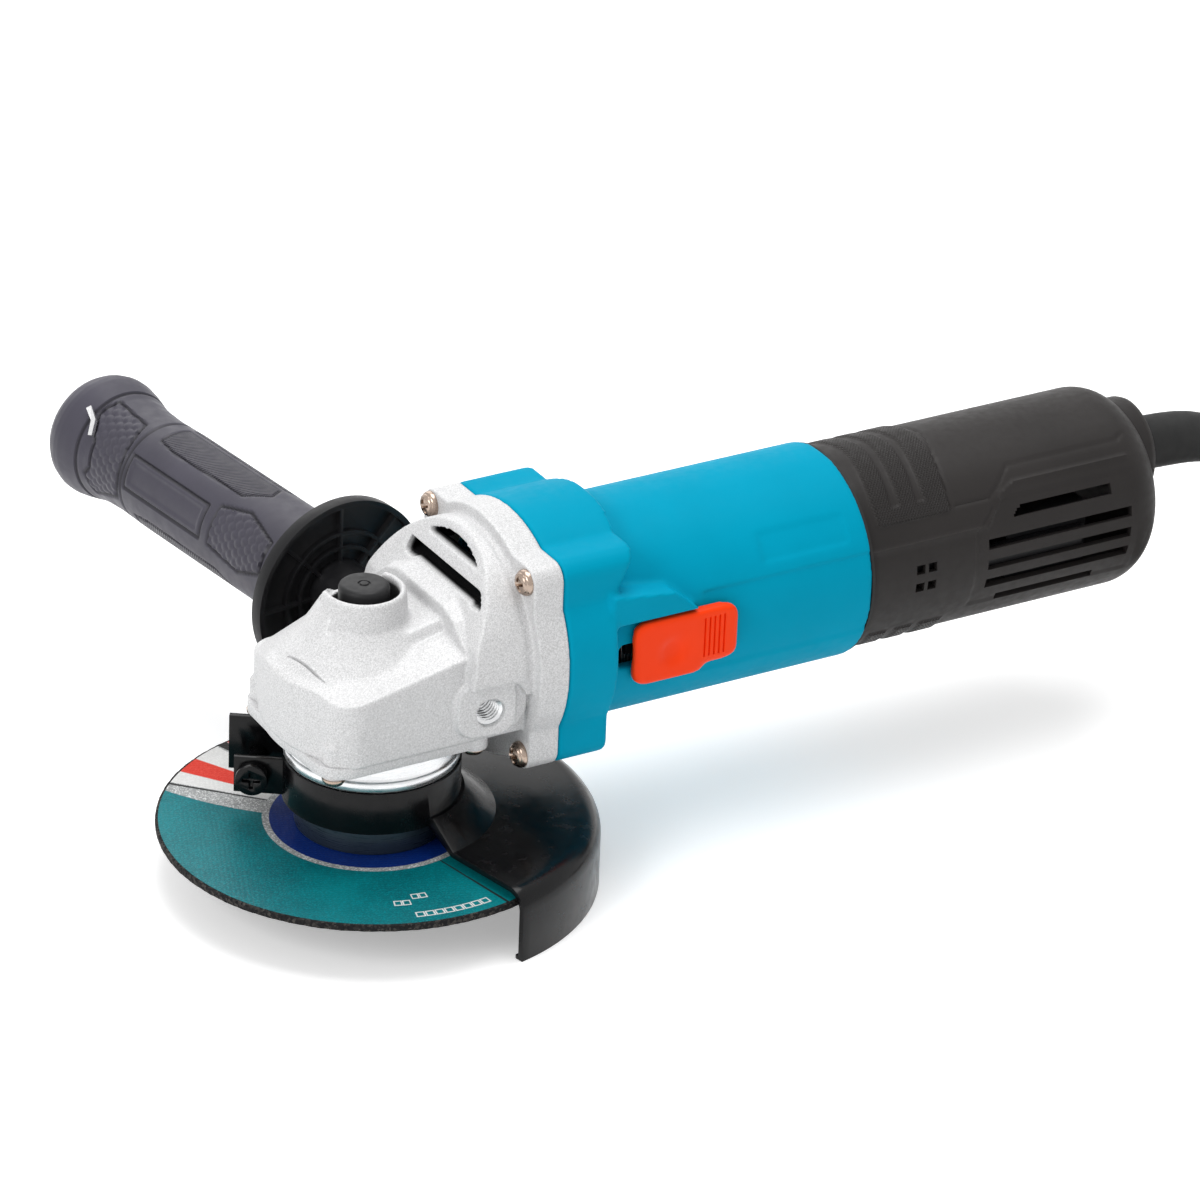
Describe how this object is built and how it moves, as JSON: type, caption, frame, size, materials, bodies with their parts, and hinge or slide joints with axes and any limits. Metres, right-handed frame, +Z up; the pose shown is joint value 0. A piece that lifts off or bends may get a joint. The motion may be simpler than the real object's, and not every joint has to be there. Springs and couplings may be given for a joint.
{
  "type": "angle grinder",
  "caption": "Corded angle grinder with a cutting disc, turning wheel guard, side handle, slide switch, spindle lock and mains lead.",
  "frame": {"origin": "centre of the spindle's free lower end", "axes": "+Z up along the spindle into the gear housing, +X along the motor towards the tail, +Y towards the side handle"},
  "size_m": [0.4336, 0.2665, 0.101],
  "materials": {
    "cast_alloy": "sparkling silver paint on a die casting",
    "machined_alloy": "turned",
    "teal_plastic": "fine grained",
    "charcoal_plastic": "fine grained",
    "black_plastic": "satin",
    "orange_plastic": "satin",
    "slate_rubber": "soft matt",
    "black_rubber": "soft matt",
    "white_plastic": "plain",
    "black_steel": "semi-gloss black",
    "steel": "ground",
    "bearing_steel": "polished",
    "gear_steel": "hardened, oiled",
    "bronze_screw": "bronze-tinted nickel",
    "blued_steel": "blued",
    "sintered_bronze": "oiled",
    "brass": "bright",
    "copper": "enamelled",
    "laminated_steel": "stacked sheets",
    "carbon": "dull",
    "bonded_abrasive": "resin and grit under a printed label",
    "capacitor_yellow": "plain"
  },
  "bodies": {
    "housing": {"gear_housing": "cast_alloy", "bearing_box": "machined_alloy", "bearing_box_screws": "bronze_screw", "flange_screws": "bronze_screw", "motor_housing": "teal_plastic", "rear_cover": "charcoal_plastic", "rear_cover_screw": "steel", "fan_baffle": "white_plastic", "stator_core": "laminated_steel", "stator_coils": "copper", "stator_screws": "steel", "brush_holders": "brass", "carbon_brushes": "carbon", "brush_springs": "steel", "switch_body": "black_plastic", "capacitor": "capacitor_yellow", "cord_clamp": "black_plastic", "clamp_screws": "steel", "internal_leads": "black_rubber", "spindle_bearing_race": "bearing_steel", "spindle_bearing_balls": "bearing_steel", "spindle_bush": "sintered_bronze", "dust_seal": "black_rubber", "motor_bearing_races": "bearing_steel", "motor_bearing_balls": "bearing_steel", "rear_bearing_seat": "black_rubber", "handle_stud": "steel", "handle_flange": "black_plastic", "handle_grip": "slate_rubber", "cord_sleeve": "black_rubber", "power_cord": "black_rubber", "cord_coil": "black_rubber", "cord_tie": "black_plastic", "plug_lead": "black_rubber", "plug_body": "black_plastic", "plug_pins": "steel", "lock_spring": "steel"},
    "spindle": {"spindle_shaft": "steel", "bevel_gear": "gear_steel", "spindle_circlip": "blued_steel", "spindle_bearing_inner": "bearing_steel", "inner_flange": "blued_steel", "cutting_disc": "bonded_abrasive", "disc_ring": "steel", "outer_nut": "blued_steel"},
    "armature": {"motor_shaft": "steel", "pinion": "gear_steel", "pinion_nut": "blued_steel", "cooling_fan": "white_plastic", "armature_core": "laminated_steel", "armature_windings": "copper", "commutator": "copper", "motor_bearing_inners": "bearing_steel"},
    "lock_button": {"lock_button": "black_plastic"},
    "switch": {"switch_slider": "orange_plastic", "switch_rod": "black_plastic"},
    "guard": {"wheel_guard": "black_steel", "guard_screw": "black_steel", "guard_nut": "blued_steel"}
  },
  "joints": [
    {"name": "spindle_spin", "type": "hinge", "parent": "housing", "child": "spindle", "pos_m": [0, 0, 0], "axis": [0, 0, 1], "continuous": true},
    {"name": "armature_spin", "type": "hinge", "parent": "housing", "child": "armature", "pos_m": [0, 0, 0.064], "axis": [1, 0, 0], "continuous": true},
    {"name": "lock_press", "type": "slide", "parent": "housing", "child": "lock_button", "axis": [0, 0, -1], "range_m": [0, 0.0035], "stiffness_N_per_m": 900, "springref_m": -0.004, "deforming": ["lock_spring"]},
    {"name": "switch_slide", "type": "slide", "parent": "housing", "child": "switch", "axis": [-1, 0, 0], "range_m": [0, 0.005]},
    {"name": "guard_turn", "type": "hinge", "parent": "housing", "child": "guard", "pos_m": [0, 0, 0.02], "axis": [0, 0, 1], "range_deg": [-75, 75]}
  ],
  "couplings": [
    {"joint": "armature_spin", "follows": "spindle_spin", "ratio": 3.1538}
  ]
}
